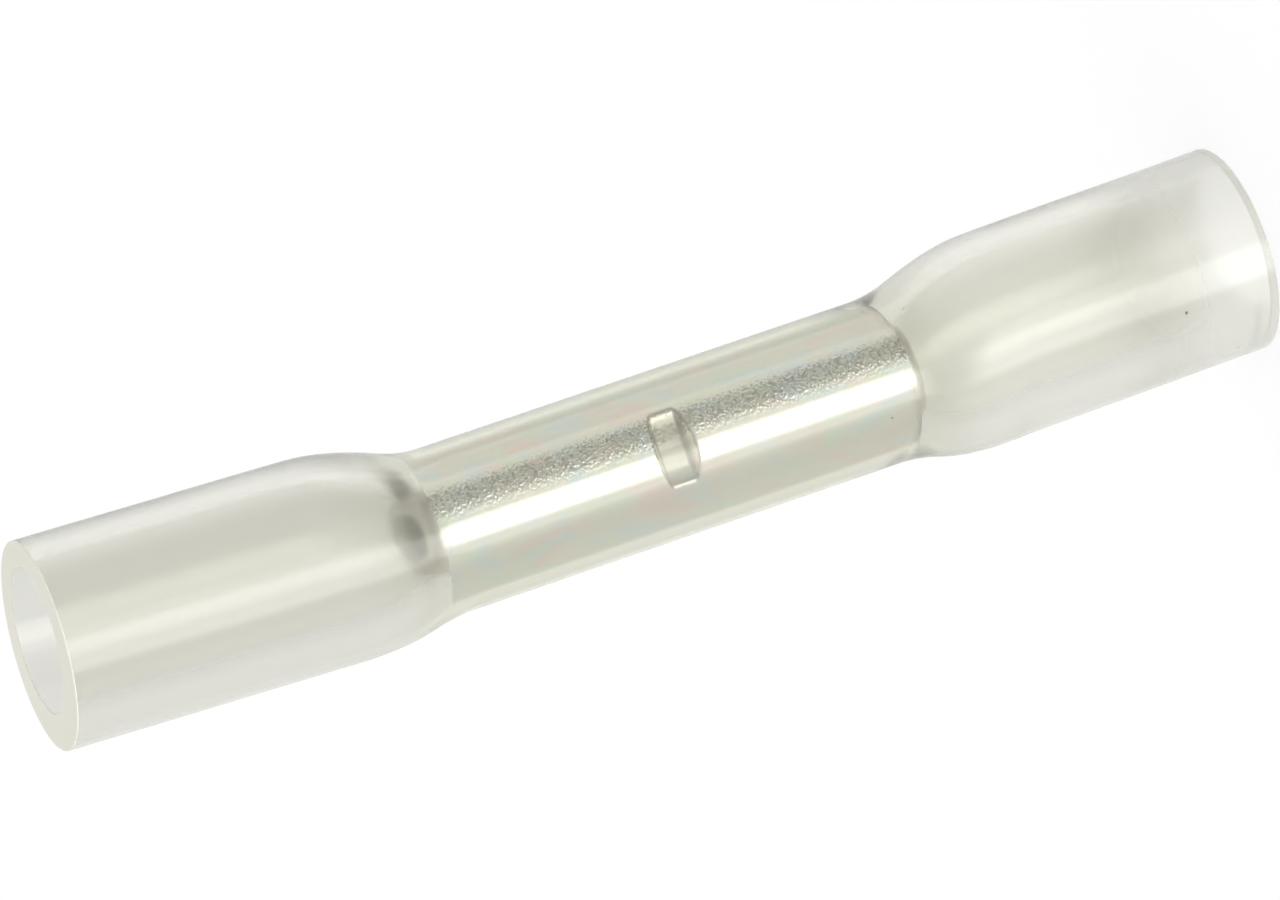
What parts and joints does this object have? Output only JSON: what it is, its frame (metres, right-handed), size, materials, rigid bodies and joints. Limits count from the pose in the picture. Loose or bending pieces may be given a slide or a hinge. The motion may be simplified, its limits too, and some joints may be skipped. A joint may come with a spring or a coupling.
{
  "type": "butt splice connector",
  "caption": "Clear heat-shrink sleeve with wide open ends, shrunk at its neck onto a tinned crimp barrel with a pressed wire stop, for joining wires end to end.",
  "frame": {"origin": "on the barrel's axis, at the plane of the lower mouth's cut end", "axes": "+Z along the barrel's axis, up; the wire stop's dent faces -Y, and both mouths lean towards +X"},
  "size_m": [0.0063, 0.0058, 0.0361],
  "materials": {
    "clear_sleeve": "clear shrink tube, glossy at the neck and milky satin at the mouths",
    "tinned_barrel": "bright tin plate with a fine grain"
  },
  "bodies": {
    "root": {"insulating_sleeve": "clear_sleeve", "crimp_barrel": "tinned_barrel"}
  },
  "joints": []
}
